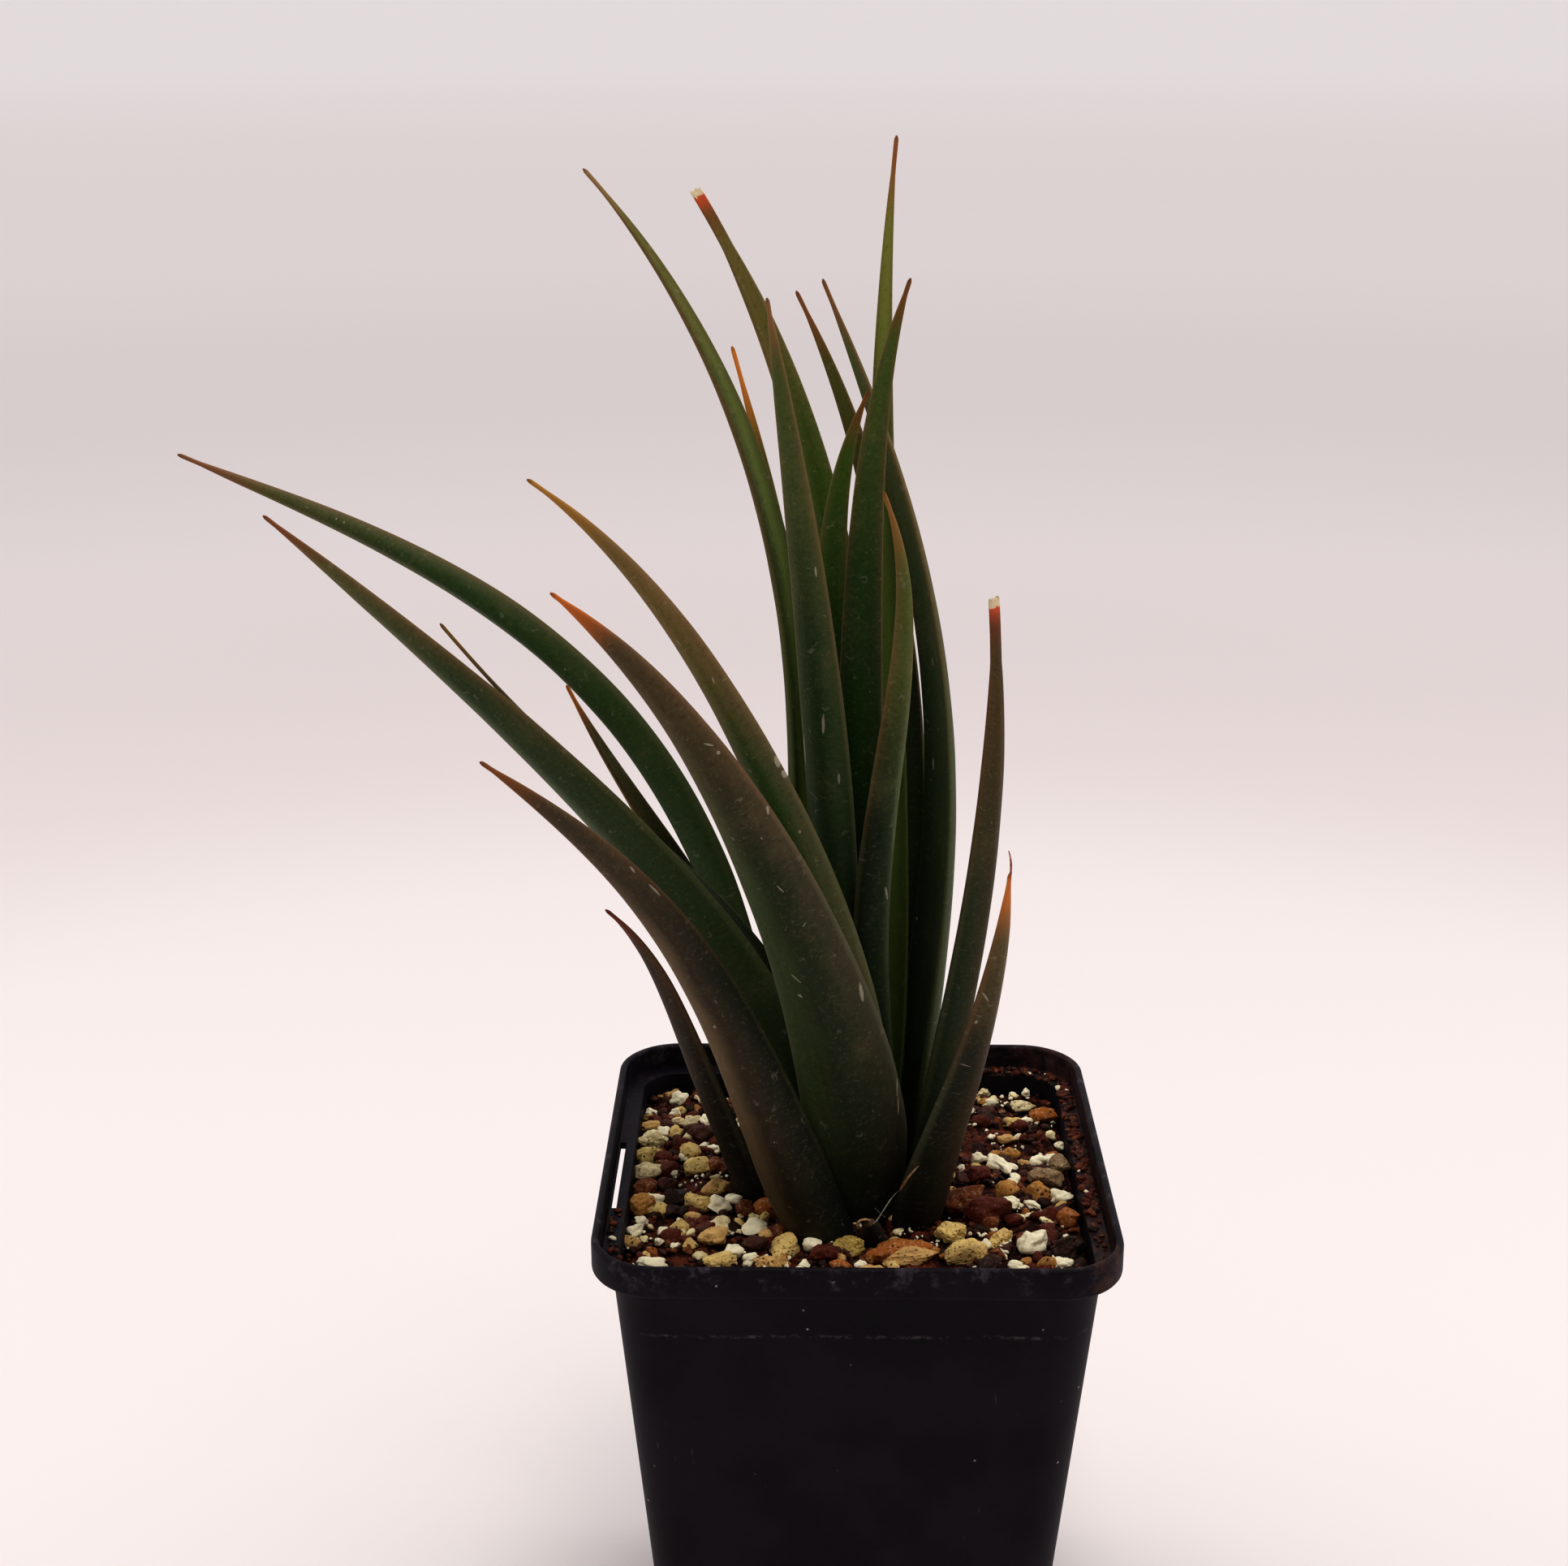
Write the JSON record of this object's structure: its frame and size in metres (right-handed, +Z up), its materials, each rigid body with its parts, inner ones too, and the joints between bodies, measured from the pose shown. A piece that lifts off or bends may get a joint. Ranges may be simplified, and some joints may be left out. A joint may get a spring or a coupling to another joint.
{
  "type": "potted haworthia",
  "caption": "Succulent with a rosette of long, keeled, pointed leaves in gritty potting mix, in a square black plastic nursery pot.",
  "frame": {"origin": "centre of the pot's flat base", "axes": "+Z up along the pot's height, +X to the right and +Y to the back as the plant is seen in the picture"},
  "size_m": [0.1282, 0.07, 0.2176],
  "materials": {
    "pot_plastic": "matt black injection-moulded plastic with dust and lime marks",
    "potting_mix": "dark peaty fines with white, cream, tan and red-brown grit",
    "stem": "pale fibrous stem",
    "leaf_dark_green": "smooth dark green skin with fine pale flecks",
    "leaf_fresh_green": "smooth fresh green skin with pale margins",
    "leaf_bronze_green": "green skin flushed bronze, with an orange tip",
    "leaf_bronze": "bronze skin, satin",
    "leaf_dry": "dried leaf base with a pale cut top"
  },
  "bodies": {
    "root": {"pot": "pot_plastic", "soil": "potting_mix", "crown": "stem", "leaf_left_high": "leaf_bronze_green", "leaf_left_low": "leaf_bronze_green", "leaf_left_slim": "leaf_dark_green", "leaf_left_inner": "leaf_dark_green", "leaf_left_short": "leaf_bronze", "leaf_front_left": "leaf_bronze", "leaf_front_broad": "leaf_bronze_green", "leaf_front_arched": "leaf_bronze_green", "leaf_front_upright": "leaf_dark_green", "leaf_right_short": "leaf_bronze", "leaf_right_cut": "leaf_bronze", "leaf_right_tall": "leaf_dark_green", "leaf_back_right": "leaf_dark_green", "leaf_back_tallest": "leaf_fresh_green", "leaf_back_cut": "leaf_bronze_green", "leaf_back_slim": "leaf_bronze_green", "leaf_back_left_tall": "leaf_dark_green", "leaf_heart_front": "leaf_fresh_green", "leaf_heart_right": "leaf_fresh_green", "leaf_heart_left": "leaf_fresh_green", "leaf_stub": "leaf_dry"}
  },
  "joints": []
}
